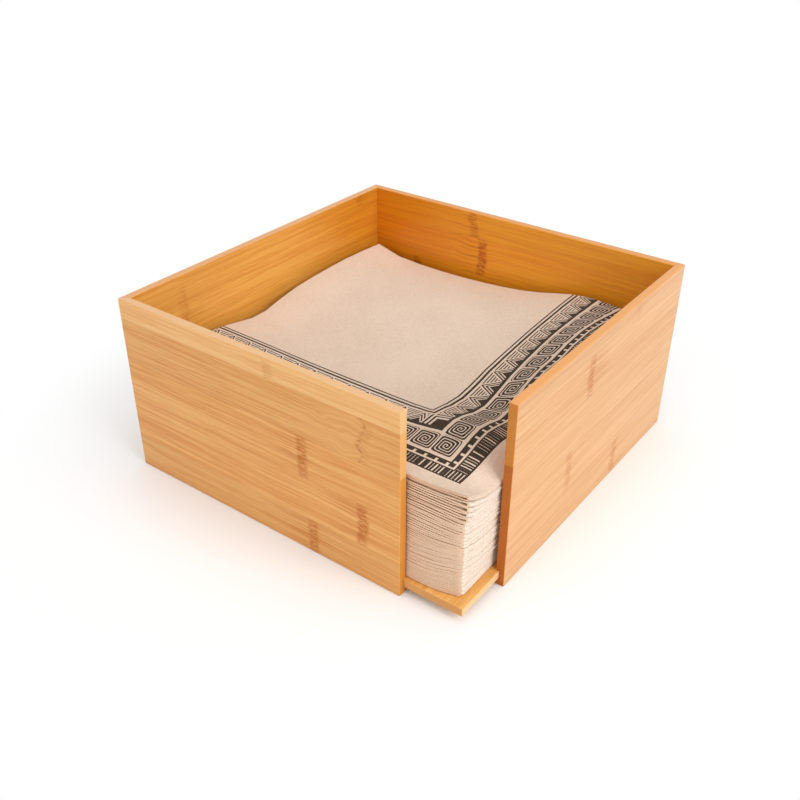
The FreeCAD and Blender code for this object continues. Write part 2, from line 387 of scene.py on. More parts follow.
class StripPattern:
    """A strip's fibres, knot and glue lines, worked out from what its group is given."""

    def __init__(self, tree, given):
        self.tree = tree
        self.place = parts_of(tree, given["Place"])
        self.seed = Field(tree, given["Seed"])
        self.wave = Field(tree, given["Knot Wave"])
        self.strength = Field(tree, given["Knot Strength"])
        self.seams = (Field(tree, given["Low Seam"]), Field(tree, given["High Seam"]))
        self.from_knot = self.place[0] - Field(tree, given["Knot Place"])
        self.knot_wave = (self.from_knot - SWIRL_PLACE).bell(SWIRL_REACH) * self.wave

    def grain(self, place, kind):
        """Noise of a kind named above; place is the numbers along, across and through the strip."""
        per_metre, shifts, detail, roughness = kind
        steps = zip(place, per_metre, shifts)
        moved = [number * scale + self.seed * shift for number, scale, shift in steps]
        return noise(self.tree, vector_of(self.tree, *moved), detail, roughness)

    def fibres(self):
        """The place moved along with the fibres, the middle and the fine fibres, and all of them mixed.

        They stray a little everywhere, and far beside a wavy knot."""
        run, across, depth = self.place
        sway = self.grain(self.place, SWAY) - 0.5
        swirl = self.grain(self.place, SWIRL) - 0.5
        line = across + sway * FIBRE_SWAY + swirl * self.knot_wave * SWIRL_SWAY
        on_fibre = (run, line, depth)
        broad = self.grain(on_fibre, BROAD_FIBRES)
        middle = self.grain(on_fibre, MIDDLE_FIBRES)
        fine = self.grain(on_fibre, FINE_FIBRES)
        all_fibres = broad * BROAD_SHARE + middle * MIDDLE_SHARE + fine * FINE_SHARE
        dark_left = (self.knot_wave * WAVY_PALING).flip()
        return on_fibre, middle, fine, all_fibres.ramp(*FIBRE_CONTRAST) * dark_left

    def knot(self, on_fibre, middle):
        """How brown the strip is at its knot, and how dark the row of pores beside it is.

        The knot is a soft band full of short dark fibres, strongest in the middle of the strip, and
        darker fibres lead to it."""
        _, across, depth = self.place
        low_seam, high_seam = self.seams
        off_middle = (across * 2 - low_seam - high_seam) / (high_seam - low_seam)
        strength = self.strength * (off_middle * off_middle * KNOT_THINNING).flip()
        crook_across, crook_through = CROOK_PER_METRE
        crook_place = (across * crook_across + self.seed, depth * crook_through, self.seed)
        crook = noise(self.tree, vector_of(self.tree, *crook_place), 2) - 0.5
        knot = self.from_knot + crook * (self.wave * WAVY_CROOK + KNOT_CROOK)
        flecks = self.grain(on_fibre, KNOT_FLECKS).ramp(*FLECK_CONTRAST)
        band = knot.size().ramp(*KNOT_FADE).flip() * (flecks * FLECK_SHARE + SOLID_SHARE)
        leading = middle.ramp(*HALO_CONTRAST)
        halo = (self.from_knot - HALO_PLACE).bell(HALO_REACH) * leading * HALO_SHARE
        dashes = self.grain(self.place, PORE_DASHES).ramp(*PORE_CONTRAST)
        dark = (strength * STRAIGHT_PORES).max(self.knot_wave * WAVY_PORES)
        pores = (knot - PORE_PLACE).bell(PORE_REACH) * dashes * dark
        return ((band + halo) * strength).min(1), pores

    def glue_lines(self):
        """1 along the two edges of the strip, where it is glued to its neighbours."""
        low_seam, high_seam = self.seams
        across = self.place[1]
        return (across - low_seam).size().min((across - high_seam).size()).bell(SEAM_REACH)


def bamboo_group():
    """Fibres along a strip, a knot across it, end grain at its sawn ends, a deeper inner face and
    painted shade that deepens it towards the board's far end.

    Place and Facing are turned so that X runs along the strip, Y across it and Z through the board."""
    tree, given, made = new_group(
        "bamboo_strip",
        (
            ("Place", "vector"),
            ("Facing", "vector"),
            ("Outward", "number"),
            ("Seed", "number"),
            ("Pale", "colour"),
            ("Deep", "colour"),
            ("Inner", "colour"),
            ("End", "colour"),
            ("Rim", "colour"),
            ("Knot", "colour"),
            ("Knot Place", "number"),
            ("Knot Strength", "number"),
            ("Knot Wave", "number"),
            ("Low Seam", "number"),
            ("High Seam", "number"),
        ),
        (("Colour", "colour"), ("Roughness", "number"), ("Coat", "number"), ("Height", "number")),
    )
    strip = StripPattern(tree, given)
    run, across, depth = strip.place
    along, upward, through = parts_of(tree, given["Facing"])

    on_fibre, middle, fine, fibre = strip.fibres()
    brown, pores = strip.knot(on_fibre, middle)
    colour = blend_colours(tree, fibre, given["Pale"], given["Deep"])
    colour = blend_colours(tree, brown * KNOT_COVER, colour, given["Knot"])
    colour = blend_colours(tree, pores, colour, paint(*PORE_BROWN))
    seam = strip.glue_lines() * SEAM_SHADE
    colour = blend_colours(tree, seam, colour, paint(*SEAM_TINT), "MULTIPLY")

    # the inner face of a board is deeper than the outer one; towards the board's far end, in the tray's
    # far inner corner, painted shade deepens it still more
    inner = (through * Field(tree, given["Outward"]) * -1).ramp(*INNER_TURN)
    colour = blend_colours(tree, inner, colour, given["Inner"], "MULTIPLY")
    painted_corner_shade = inner * run.ramp(*CORNER_SHADE_FADE)
    colour = blend_colours(tree, painted_corner_shade, colour, paint(*CORNER_SHADE_TINT), "MULTIPLY")

    # the planed edges show the sides of the fibres
    rim = blend_colours(tree, fibre * RIM_FIBRES, given["Rim"], given["Deep"])
    colour = blend_colours(tree, upward.size().ramp(*RIM_TURN), colour, rim)

    # the sawn ends show the fibres as dots; they have no coat of varnish left and are rougher
    end = along.size().ramp(*END_TURN)
    dots_place = (across * DOTS_PER_METRE + strip.seed, depth * DOTS_PER_METRE, strip.seed)
    dots = noise(tree, vector_of(tree, *dots_place), 1).ramp(*DOT_CONTRAST)
    end_grain = blend_colours(tree, dots * END_DOTS, given["End"], given["Deep"])
    colour = blend_colours(tree, end, colour, end_grain)

    rougher = fibre * FIBRE_ROUGHER + brown * KNOT_ROUGHER + end * END_ROUGHER
    roughness = rougher + VARNISH_ROUGHNESS
    height = (fibre * FIBRE_DEPTH + fine * FINE_DEPTH + pores * PORE_DEPTH) * -1
    tree.links.new(colour, made["Colour"])
    tree.links.new(roughness.socket, made["Roughness"])
    tree.links.new((end.flip() * VARNISH_COAT).socket, made["Coat"])
    tree.links.new(height.socket, made["Height"])
    return tree


# Which directions run along a board's strips, across them and through the board, and which way along
# the last one its outer face looks.
LAY = {
    "left_wall": ("Y", "Z", "X", -1),
    "front_wall": ("X", "Z", "Y", -1),
    "back_wall": ("X", "Z", "Y", 1),
    "right_wall": ("Y", "Z", "X", 1),
    "base": ("X", "Y", "Z", -1),
}
# For each board: its pale and its deep fibres, what its inner face is multiplied by, its planed edges,
# and its sawn ends where they are deepest and palest.
BOARD_COLOURS = {
    "left_wall": {
        "pale": (228, 168, 92),
        "deep": (210, 135, 54),
        "inner": (252, 222, 150),
        "rim": (224, 178, 126),
        "deep_end": (211, 137, 48),
        "pale_end": (231, 182, 124),
    },
    "front_wall": {
        # painted sheen: these pale and deep colours are paler and less saturated than the other
        # boards', for the varnish's reflection of light on the front face
        "pale": (224, 172, 116),
        "deep": (211, 152, 94),
        "inner": (252, 222, 150),
        "rim": (227, 156, 81),
        "deep_end": (175, 90, 0),
        "pale_end": (198, 124, 44),
    },
    "back_wall": {
        "pale": (238, 194, 135),
        "deep": (221, 162, 92),
        "inner": (252, 226, 150),
        "rim": (217, 156, 100),
        "deep_end": (226, 160, 84),
        "pale_end": (226, 160, 84),
    },
    "right_wall": {
        "pale": (244, 190, 104),
        "deep": (228, 161, 72),
        "inner": (252, 218, 102),
        "rim": (215, 144, 72),
        "deep_end": (226, 160, 84),
        "pale_end": (226, 160, 84),
    },
    "base": {
        "pale": (238, 180, 100),
        "deep": (216, 149, 68),
        "inner": (255, 255, 255),
        "rim": (241, 194, 140),
        "deep_end": (204, 144, 79),
        "pale_end": (220, 156, 92),
    },
}
CREAM = (250, 214, 166)  # what the paler strips are mixed with

# For each strip from the rim down, or from the front of the base back: how pale it is (or, below 0, how
# dark), how pale its sawn end is, where its knot is along the strip in millimetres, how brown the knot
# is and how much it bends the fibres beside it.
STRIPS = {
    "left_wall": (
        (0.28, 1.0, 3.9, 0.30, 0.4),
        (-0.02, 0.7, -44, 0.25, 1.2),
        (0.00, 0.1, -12, 0.90, 0.3),
        (0.02, 0.1, -42, 1.00, 0.3),
        (-0.03, 0.0, -16, 0.90, 0.3),
    ),
    "front_wall": (
        (-0.02, 0.9, 40, 0.20, 0.3),
        (0.00, 1.0, -0.6, 0.70, 0.3),
        (0.02, 0.1, 120, 0.00, 0.0),
        (0.01, 0.0, -12.6, 0.45, 0.3),
        (-0.01, 0.0, 35, 0.55, 0.3),
    ),
    "back_wall": (
        (0.00, 0.0, 70, 0.30, 0.3),
        (0.00, 0.0, -58, 0.20, 0.4),
        (0.06, 0.0, 130, 0.00, 0.0),
        (0.00, 0.0, 30, 0.80, 0.5),
        (-0.02, 0.0, -60, 0.60, 0.5),
    ),
    "right_wall": (
        (-0.02, 0.0, 22.7, 0.70, 0.5),
        (0.00, 0.0, 16.9, 1.00, 0.5),
        (0.04, 0.0, 58.6, 0.90, 0.4),
        (0.00, 0.0, -40, 0.50, 0.5),
        (-0.02, 0.0, 5, 0.70, 0.4),
    ),
    "base": (
        (0.10, 0.0, -60, 0.00, 0.0),
        (0.02, 0.3, 40, 0.30, 0.4),
        (-0.02, 0.0, -10, 0.70, 0.5),
        (0.00, 0.0, 70, 0.20, 0.6),
        (0.03, 0.0, 0, 0.80, 0.4),
        (-0.02, 0.0, -50, 0.50, 0.4),
        (0.00, 0.0, 20, 0.60, 0.5),
        (-0.03, 0.0, 60, 0.40, 0.4),
        (0.01, 0.0, -30, 0.30, 0.8),
    ),
}
STRIP_SEED = 7.3  # how far the noise moves from one strip to the next, and from one board to the next
BOARD_SEED = 41


def mixed(first, second, share):
    """The colour that is this share of the way from the first to the second."""
    return tuple(a + (b - a) * share for a, b in zip(first, second))


def paler(colour, share):
    """The colour mixed with cream, or made darker where share is below 0."""
    return mixed(colour, CREAM if share > 0 else (0, 0, 0), abs(share))


def bamboo_material(name, board, number, group):
    """The varnished bamboo of one strip."""
    material, tree, shader = new_material(name)
    place = tree.nodes.new("ShaderNodeTexCoord")
    run_axis, across_axis, through_axis, outward = LAY[board]
    turned = {}
    for label in ("Object", "Normal"):
        numbers = dict(zip("XYZ", parts_of(tree, place.outputs[label])))
        order = (run_axis, across_axis, through_axis)
        turned[label] = vector_of(tree, *(numbers[axis] for axis in order))
    tone, end_tone, knot_place, knot_strength, wave = STRIPS[board][number - 1]
    low, high = (corner["XYZ".index(across_axis)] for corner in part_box(name.removesuffix("_bamboo")))
    colours = BOARD_COLOURS[board]
    end = mixed(colours["deep_end"], colours["pale_end"], end_tone)
    outputs = use_group(
        tree,
        group,
        Place=turned["Object"],
        Facing=turned["Normal"],
        Outward=outward,
        Seed=STRIP_SEED * number + BOARD_SEED * list(LAY).index(board),
        Pale=paint(*paler(colours["pale"], tone)),
        Deep=paint(*paler(colours["deep"], tone)),
        Inner=paint(*colours["inner"]),
        Rim=paint(*colours["rim"]),
        End=paint(*end),
        Knot=paint(*KNOT_BROWN),
        Knot_Place=knot_place * MM,
        Knot_Strength=knot_strength,
        Knot_Wave=wave,
        Low_Seam=low,
        High_Seam=high,
    )
    tree.links.new(outputs["Colour"], shader.inputs["Base Color"])
    tree.links.new(outputs["Roughness"], shader.inputs["Roughness"])
    tree.links.new(outputs["Coat"], shader.inputs["Coat Weight"])
    shader.inputs["Coat Roughness"].default_value = COAT_ROUGHNESS
    shader.inputs["Specular IOR Level"].default_value = VARNISH_SPECULAR
    add_bump(tree, shader, outputs["Height"], FIBRE_RELIEF)
    return material


def dress_boards():
    """Every strip of the walls and the base gets bamboo of its own."""
    group = bamboo_group()
    for board, strips in STRIPS.items():
        for number in range(1, len(strips) + 1):
            name = f"{board}_strip_{number}"
            strip = nodes[name]
            strip.data.materials.clear()
            strip.data.materials.append(bamboo_material(f"{name}_bamboo", board, number, group))


# ---- Paper, with its sizes in millimetres ------------------------------------
SHEET_SIDE = 330.0  # one napkin laid open
CLOUD_SIZE = 22  # soft clouds in the tissue, its grain, and its stray darker fibres
GRAIN_SIZE = 0.9
STRAY_SIZE = (0.9, 2.2)
CLOUD_SHARE = 0.35  # of the tissue's uneven shade; the rest is its grain
SHADE_CONTRAST = (0.35, 0.7)
STRAY_CONTRAST = (0.72, 0.80)
STRAY_SHADE = 0.25
EMBOSS_PITCH = 0.9
EMBOSS_SHARE = 0.6  # of the tissue's relief; the rest is its grain
LEFT_FOLD_SHADE_FADE = (0.8, 1.8)  # between these distances from the left fold its painted brown shade fades
PLAIN_SEED = 5.1  # how far these move from one plain tissue to the next, and in the printed one
PRINTED_SEED = 31.7
TISSUE_RELIEF = 0.00012  # in metres
TISSUE_ROUGHNESS = 0.92
TISSUE_SPECULAR = 0.25

# pale and deep
PRINTED_PAPER = ((224, 202, 183), (213, 190, 168))
PLAIN_PAPER = ((232, 217, 201), (222, 204, 185))
STRAY_BROWN = (170, 128, 92)
# painted shade: the browner tint of the stack's left face
LEFT_FOLD_SHADE = (245, 225, 208)
INK = (50, 37, 24)
INK_SPOTS = 0.35  # size of the spots where the ink covers the paper less well
INK_CONTRAST = (0.25, 0.5)
INK_THINNEST = 0.8  # how much of the paper it covers there


def paper_group():
    """Unbleached tissue: a fine embossed grid, faint clouds and a few darker fibres.

    Sheet is the place on the open napkin, from the middle where its folds cross."""
    tree, given, made = new_group(
        "napkin_tissue",
        (("Sheet", "vector"), ("Seed", "number"), ("Pale", "colour"), ("Deep", "colour")),
        (("Colour", "colour"), ("Height", "number")),
    )
    across, up, _ = parts_of(tree, given["Sheet"])
    seed = Field(tree, given["Seed"])

    def spots(wide, high, detail):
        return noise(tree, vector_of(tree, across / wide + seed, up / high, seed), detail)

    clouds = spots(CLOUD_SIZE, CLOUD_SIZE, 3)
    grain = spots(GRAIN_SIZE, GRAIN_SIZE, 2)
    shade = clouds * CLOUD_SHARE + grain * (1 - CLOUD_SHARE)
    colour = blend_colours(tree, shade.ramp(*SHADE_CONTRAST), given["Pale"], given["Deep"])
    strays = spots(*STRAY_SIZE, 1).ramp(*STRAY_CONTRAST) * STRAY_SHADE
    colour = blend_colours(tree, strays, colour, paint(*STRAY_BROWN))
    # the folds along the left side are painted browner: painted shade on the stack's left face, which
    # is less lit than its front
    folded = across.size().ramp(*LEFT_FOLD_SHADE_FADE).flip()
    colour = blend_colours(tree, folded, colour, paint(*LEFT_FOLD_SHADE), "MULTIPLY")
    ribs = [(place.wrap(EMBOSS_PITCH) / (EMBOSS_PITCH / 2)).size() for place in (across, up)]
    embossed = ribs[0] * ribs[1]
    tree.links.new(colour, made["Colour"])
    height = embossed * EMBOSS_SHARE + grain * (1 - EMBOSS_SHARE)
    tree.links.new(height.socket, made["Height"])
    return tree


# The bands of the printed border, as distances from the napkin's folds.
TICK_BAND = (8.8, 15.0)
TICK_ENDS = (9.6, 14.4)  # between these the ticks are cut out of the dark band
TICK_PITCH = 1.45
TICK_THINNEST = -0.04  # half a tick's width; below 0 there is none
TICK_SPREAD = 0.42  # and how much more the widest has
TOOTH_BAND = (15.9, 18.4)
TOOTH_PITCH = 5.0
TOOTH_START = 4.0
NOTCH_HALF = 0.6
NOTCH_DEPTH = 1.6
SPIRAL_BAND = (19.8, 29.75)
COIL_PITCH = 1.24
COIL_SHARE = 0.67  # of the pitch that is ink
SPIRAL_MARGIN = 0.2
ROUND_POWER = 3  # how square the spirals are in the middle and outside: 2 would be round
SQUARE_POWER = 9
TRIANGLE_BAND = (31.0, 40.5)
TRIANGLE_FOOT = 1.7  # thickness of the line that the triangles stand on
TRIANGLE_PITCH = 9.8
TRIANGLE_START = 6.1
OUTLINE_START = 0.08  # these four and the margin are shares of a triangle's height
OUTLINE_PITCH = 0.28
OUTLINE_HALF = 0.075
TRIANGLE_DARK = 0.57
STROKE_MARGIN = 0.16  # between a triangle and the strokes beside it
STROKE_PITCH = 1.2
STROKE_HALF = 0.26
STROKE_START = 0.4
CORNER_MARGIN = 2.2  # how far past the triangles' band the square at its corner reaches
CORNER_DARK = 4.9
ANGLE_START = 6.7
ANGLE_PITCH = 2.1
ANGLE_HALF = 0.5
INNER_LINES = ((41.6, 42.8), (43.9, 44.7))
BOLD_RANGE = (50, 95)  # how far along a fold the spirals and strokes start and end growing
BOLD_GAIN = 0.24  # by this share


def tick_ink(left, front):
    """Pale lines of uneven width across a dark band; the left band runs through to the corner."""
    inward = left.min(front)
    beside = left.under(TICK_BAND[1])
    along = front * beside + left * beside.flip()
    tick_number = (along / TICK_PITCH).maths("ROUND")
    white = left.tree.nodes.new("ShaderNodeTexWhiteNoise")
    white.noise_dimensions = "1D"
    left.tree.links.new(tick_number.socket, white.inputs["W"])
    half = Field(left.tree, white.outputs["Value"]) * TICK_SPREAD + TICK_THINNEST
    tick = along.wrap(TICK_PITCH).size().under(half)
    return inward.between(*TICK_BAND) * (tick * inward.between(*TICK_ENDS)).flip()


def tooth_ink(inward, along):
    """A dark bar with small pale notches on its outer side."""
    notch = (along - TOOTH_START).wrap(TOOTH_PITCH).size().under(NOTCH_HALF)
    notch = notch * inward.under(TOOTH_BAND[0] + NOTCH_DEPTH)
    return inward.between(*TOOTH_BAND) * notch.flip()


def off_centre(x, y, power):
    """How far a place is from 0, 0, measured in rings that are the squarer the higher the power."""
    total = x.size().maths("POWER", power) + y.size().maths("POWER", power)
    return total.maths("POWER", 1 / power)


def spiral_ink(left, front, bold):
    """One spiral to each square cell, rounder in the middle and square outside."""
    low, high = SPIRAL_BAND
    cell = high - low
    middle = (low + high) / 2
    x = (left - middle).wrap(cell)
    y = (front - middle).wrap(cell)
    square = off_centre(x, y, SQUARE_POWER)
    rounder = off_centre(x, y, ROUND_POWER)
    share = (square / (cell / 2)).min(1).maths("POWER", 0.5)
    ring = square * share + rounder * share.flip()
    turn = y.maths("ARCTAN2", x) / (2 * math.pi)
    coil = ring / bold / COIL_PITCH - turn
    spiral = coil.wrap(1).size().under(COIL_SHARE / 2) * ring.under(cell / 2 - SPIRAL_MARGIN)
    return spiral * left.min(front).between(low, high)


def triangle_ink(inward, along, bold):
    """Triangles on a line, each a dark one in two outlines, with strokes between them.

    Where the two edges meet there is a dark square in nested angles instead."""
    low, high = TRIANGLE_BAND
    foot = low + TRIANGLE_FOOT
    rise = (inward - foot) / (high - foot)
    aside = (along - TRIANGLE_START).wrap(TRIANGLE_PITCH).size() / (TRIANGLE_PITCH / 2)
    within = (rise + aside).flip()
    outlines = (within - OUTLINE_START).wrap(OUTLINE_PITCH).size().under(OUTLINE_HALF)
    standing = within.over(0) * outlines.max(within.over(TRIANGLE_DARK))
    across_strokes = (inward - high + STROKE_START) / bold
    strokes = across_strokes.wrap(STROKE_PITCH).size().under(STROKE_HALF)
    between = standing.max(within.under(-STROKE_MARGIN) * strokes)
    outward = along - foot
    angles = (outward - ANGLE_START).wrap(ANGLE_PITCH).size().under(ANGLE_HALF)
    angles = outward.under(CORNER_DARK).max(angles)
    corner = along.under(high + CORNER_MARGIN)
    pattern = (between * corner.flip() + angles * corner).min(1) * inward.between(low, high)
    return inward.between(low, foot).max(pattern)


def border_group():
    """Traditional bands along two edges: ticks, teeth, square spirals, triangles and two lines.

    Sheet is the distance from the left fold and from the front fold."""
    tree, given, made = new_group("border_print", (("Sheet", "vector"),), (("Ink", "number"),))
    left, front, _ = parts_of(tree, given["Sheet"])
    inward = left.min(front)
    along = left.max(front)
    bold = along.ramp(*BOLD_RANGE) * BOLD_GAIN + 1
    ink = tick_ink(left, front).max(tooth_ink(inward, along))
    ink = ink.max(spiral_ink(left, front, bold)).max(triangle_ink(inward, along, bold))
    for line in INNER_LINES:
        ink = ink.max(inward.between(*line))
    inside = left.over(0) * front.over(0)
    tree.links.new((ink * inside).socket, made["Ink"])
    return tree


def paper_material(name, seed, colours, tissue, border=None):
    """Napkin tissue, printed with the border where one is given."""
    material, tree, shader = new_material(name)
    uv = tree.nodes.new("ShaderNodeTexCoord")
    numbers = parts_of(tree, uv.outputs["UV"])
    sheet = [(number - 0.5) * SHEET_SIDE for number in numbers[:2]]
    place = vector_of(tree, *sheet)
    pale, deep = colours
    paper = use_group(tree, tissue, Sheet=place, Seed=seed, Pale=paint(*pale), Deep=paint(*deep))
    colour = paper["Colour"]
    if border:
        ink = use_group(tree, border, Sheet=place)["Ink"]
        spots = vector_of(tree, *(number / INK_SPOTS for number in sheet))
        spotty = noise(tree, spots, 1).ramp(*INK_CONTRAST)
        cover = Field(tree, ink) * (spotty * (1 - INK_THINNEST) + INK_THINNEST)
        colour = blend_colours(tree, cover, colour, paint(*INK))
    tree.links.new(colour, shader.inputs["Base Color"])
    shader.inputs["Roughness"].default_value = TISSUE_ROUGHNESS
    shader.inputs["Specular IOR Level"].default_value = TISSUE_SPECULAR
    add_bump(tree, shader, paper["Height"], TISSUE_RELIEF)
    return material


# ---- Napkins, with their sizes in millimetres --------------------------------
FLAT_NAPKINS = 14  # pressed flat at the bottom of the stack
WAVY_NAPKINS = 11  # looser and wavier above them, under the printed one
LEANING_NAPKINS = 5  # of the top ones lean out at the open corner and gape there
STACK_FLOOR = 7.5
PRESSED_PITCH = 1.6  # from one napkin to the next, in the pressed part and above it
LOOSE_PITCH = 2.05
AIR = 0.04  # between one napkin and the next, and between a napkin and a wall
SEAT_GAP = 0.3  # under the printed napkin
TOP_THICKNESS = 2.0
NAPKIN_LEFT = -85.5  # the left and the front folds
NAPKIN_FRONT = -83.5
# the insides of the two walls beside the open corner, and where each wall starts past that corner
LEFT_WALL_INSIDE = -86.0
LEFT_WALL_START = -61.0
FRONT_WALL_INSIDE = -86.0
FRONT_WALL_START = -62.0

PRESSED_LEAF = 0.38  # thickness of a folded napkin's single leaf, pressed in the stack's lower part
LOOSE_LEAF = (0.37, 0.42)  # between these above it
MOUTH_LEAF = 0.29  # and in the napkins that lean out
BLUNT = 0.15  # how far a pressed fold still bulges, as a share of a round one
FOLD_STEPS = (0, 0.35, 0.7, 1)  # of the half turn from a leaf's end to the middle of its fold
# distances from the end of the fold to the cut edge: close together near the open corner
LEAF_STEPS = (
    (0.6, 1.3, 2.1, 3, 4, 5, 6, 7.2, 8.6, 10.2, 12, 14, 16.5, 19.5, 23, 27, 32)
    + (38, 45, 53, 62, 72, 83, 95, 108, 122, 136, 150)
)

# How the loose upper napkins lie: each hill or hollow by its centre, its half widths and its height.
HILLS = (
    (-22, -54, 16, 30, -3.5),
    (-18, 64, 18, 50, -5),
    (55, -55, 35, 90, 4),
    (25, -78, 42, 24, 12),
    (-10, -75, 12, 12, 7.5),
    (82, -46, 20, 22, 4.5),
    (75, 84, 70, 12, 4),
    (88, 28, 30, 60, -4.5),
    (-47, -62, 13, 18, 4.5),
    (-60, 60, 50, 50, 2),
    (-40, 20, 12, 44, -1),
    (25, -82, 50, 8, -4.5),
)
# Along its left folds the stack stands higher, by this much at the top and with this reach.
LEFT_CURL = 2.3
CURL_REACH = 4.5
# At the open corner it puffs up: the first two rise and fall again on the way up the stack.
PUFF_WAVE = 1.9
PUFF_ARCH = 1.0
PUFF_RISE = 1.3
PUFF_REACH = (10, 12)  # past the left folds and past the front folds
PUFF_LEAN = 2.5  # how far in front of the front folds the puff has its middle
# Its front folds are pressed down, the more so the further they are from the corner.
FRONT_PRESS = 4.6
PRESS_REACH = 6
PRESS_START = 1.5
PRESS_WIDTH = 22  # from the press's start along the front folds to where it is full

# How one napkin differs from the next. For these five: the value at the stack's foot, and what is added
# to it on the way to the top.
SLIDE_LEFT = (0.12, 0.3)  # the furthest that it slides in from the left wall
SLIDE_FRONT = (-0.4, -1.3)
LEFT_INSET = (0.06, 0.6)  # the furthest that each of its two left folds is drawn in
LEFT_WANDER = (0.05, 0.4)
CORNER_ROUND = (2.5, 1.5)
# For these: the least and the most that is drawn.
LEAN = (1.2, 1.6)  # how far a leaning napkin stands out at the corner
HOLLOW_DEPTH = (1.2, 2.2)  # how deep the folded corner is hollow, and how deep in the leaning napkins
MOUTH_DEPTH = (3.3, 3.9)
DENT_SHARE = (-0.3, 1)  # of the dent in the front folds beside the corner, and where that is
DENT_PLACE = (4.8, 6.2)
# For these: how far they reach past the left folds and past the front folds.
LEAN_REACH = (15, 40)
TUCK_REACH = (20, 8)
MOUTH_PINCH_REACH = (1.4, 3)
DENT_REACH = (1.2, 2.5)
DENT = 0.9  # how deep the full dent is at the stack's top
FRONT_STRAY = 0.25  # how far it slides to the front or to the back of its place
TWIST = 0.12  # degrees, either way
FRONT_WANDER = 0.22
WANDER_REACH = 5
WAVE_COUNT = 5  # waves that make up one ripple
WAVE_SIZES = (0.3, 1)
SHORTEST_WAVE = 8
LEFT_WAVE = 60  # the longest in its left folds, in its front folds and in how hard it is pinched
FRONT_WAVE = 90
PINCH_WAVE = 70
SQUEEZE = 0.6  # how far its left folds close up, and how much that comes and goes along them
PINCHES = (0, 0.05, 0.1, 0.2, 0.35)  # how hard they are pinched as well, at the stack's top
PINCH_SPREAD = 0.4  # the lower, the fewer places are pinched
PINCH_REACH = 0.9
PINCH_START = 7  # how far past the front folds the left ones start to be pinched
TUCK = 2.6  # how far the lowest left folds draw in at the corner
HOLLOW_REACH = 7
HOLLOW_EDGE = 0.3
MOUTH_PINCH = 0.4  # how much flatter a leaning napkin is past its mouth, and where
MOUTH_PINCH_PLACE = 4
LEAF_AIR = 0.02  # the least that is left between a napkin's own leaves
NAPKIN_SEED = 17
SMOOTH_ANGLE = 50  # degrees


def bell(x, reach):
    """1 at 0, falling smoothly to nothing on both sides past about twice the reach."""
    return math.exp(-((x / reach) ** 2))


def hills(x, y):
    """How far the top of the stack stands above its level at this place."""
    return sum(
        height * math.exp(-(((x - a) / c) ** 2) - ((y - b) / d) ** 2) for a, b, c, d, height in HILLS
    )


def fold(sheet_place, pitch, tight):
    """Where a place on the open napkin, measured from its middle, lies in the folded one.

    The napkin is folded to the right along its middle and then to the back. The result is the distance
    from the left fold, from the front fold, and the height from the folded napkin's middle. tight draws
    the inner leaves out to the outer ones, which leaves a hollow in the middle of the front fold."""
    across, up = sheet_place
    radius = pitch / 2
    arc = math.pi * radius / 2
    if abs(across) < arc:
        angle = across / radius
        x = BLUNT * radius * (1 - math.cos(angle))
        height = pitch + radius * math.sin(angle)
    else:
        x = BLUNT * radius + abs(across) - arc
        height = pitch + math.copysign(radius, across)
    outer = 1.5 * pitch
    height = outer - (outer - height) * tight(x, abs(up))
    arc = math.pi * pitch / 2
    if abs(up) < arc:
        angle = up / arc * math.pi / 2
        y = outer - height * math.cos(angle)
        return x, y, height * math.sin(angle)
    return x, outer + abs(up) - arc, math.copysign(height, up)


def round_corner(x, y, radius):
    """Draws the square corner at 0, 0 in to a round one."""
    dx = radius - x
    dy = radius - y
    if dx <= 0 or dy <= 0:
        return x, y
    share = max(dx, dy) / math.hypot(dx, dy)
    return radius - dx * share, radius - dy * share


def line_places(pitch):
    """Where the grid lines of an open napkin are along one side, from its middle out to both edges."""
    half = SHEET_SIDE / 2
    arc = math.pi * pitch / 2
    out = [arc * step for step in FOLD_STEPS] + [arc + step for step in LEAF_STEPS] + [half]
    return [-value for value in reversed(out[1:])] + out


def open_napkin():
    """An open napkin as a flat grid of cells 1 m wide; its vertices are moved later."""
    count = len(line_places(PRESSED_PITCH)) - 1
    deselect()
    bpy.ops.mesh.primitive_grid_add(x_subdivisions=count, y_subdivisions=count, size=count)
    pattern = bpy.context.object
    pattern.name = "open_napkin"
    return pattern


def level(step, x, y):
    """The height of a boundary between napkins at this place: step counts the napkins under it."""
    loose = max(step - FLAT_NAPKINS, 0)
    rise = min(step, FLAT_NAPKINS) * PRESSED_PITCH + loose * LOOSE_PITCH
    share = rise / (FLAT_NAPKINS * PRESSED_PITCH + WAVY_NAPKINS * LOOSE_PITCH)
    left = x - NAPKIN_LEFT
    front = y - NAPKIN_FRONT + PUFF_LEAN
    curl = LEFT_CURL * share * math.exp(-max(left, 0) / CURL_REACH)
    uneven = PUFF_WAVE * math.sin(2 * math.pi * share) + PUFF_ARCH * math.sin(math.pi * share)
    uneven += PUFF_RISE * share
    puff = uneven * math.exp(-((left / PUFF_REACH[0]) ** 2) - (front / PUFF_REACH[1]) ** 2)
    away = min(max((left - PRESS_START) / PRESS_WIDTH, 0), 1)
    press = FRONT_PRESS * share**2 * away * away * (3 - 2 * away) * bell(front, PRESS_REACH)
    return STACK_FLOOR + rise + loose / WAVY_NAPKINS * hills(x, y) + curl + puff - press


def napkin_space(number, x, y):
    """The levels of a napkin's two sides at this place; the last napkin is the printed one."""
    if number <= FLAT_NAPKINS + WAVY_NAPKINS:
        return level(number - 1, x, y), level(number, x, y) - AIR
    floor = level(number - 1, x, y) + SEAT_GAP
    return floor, floor + TOP_THICKNESS


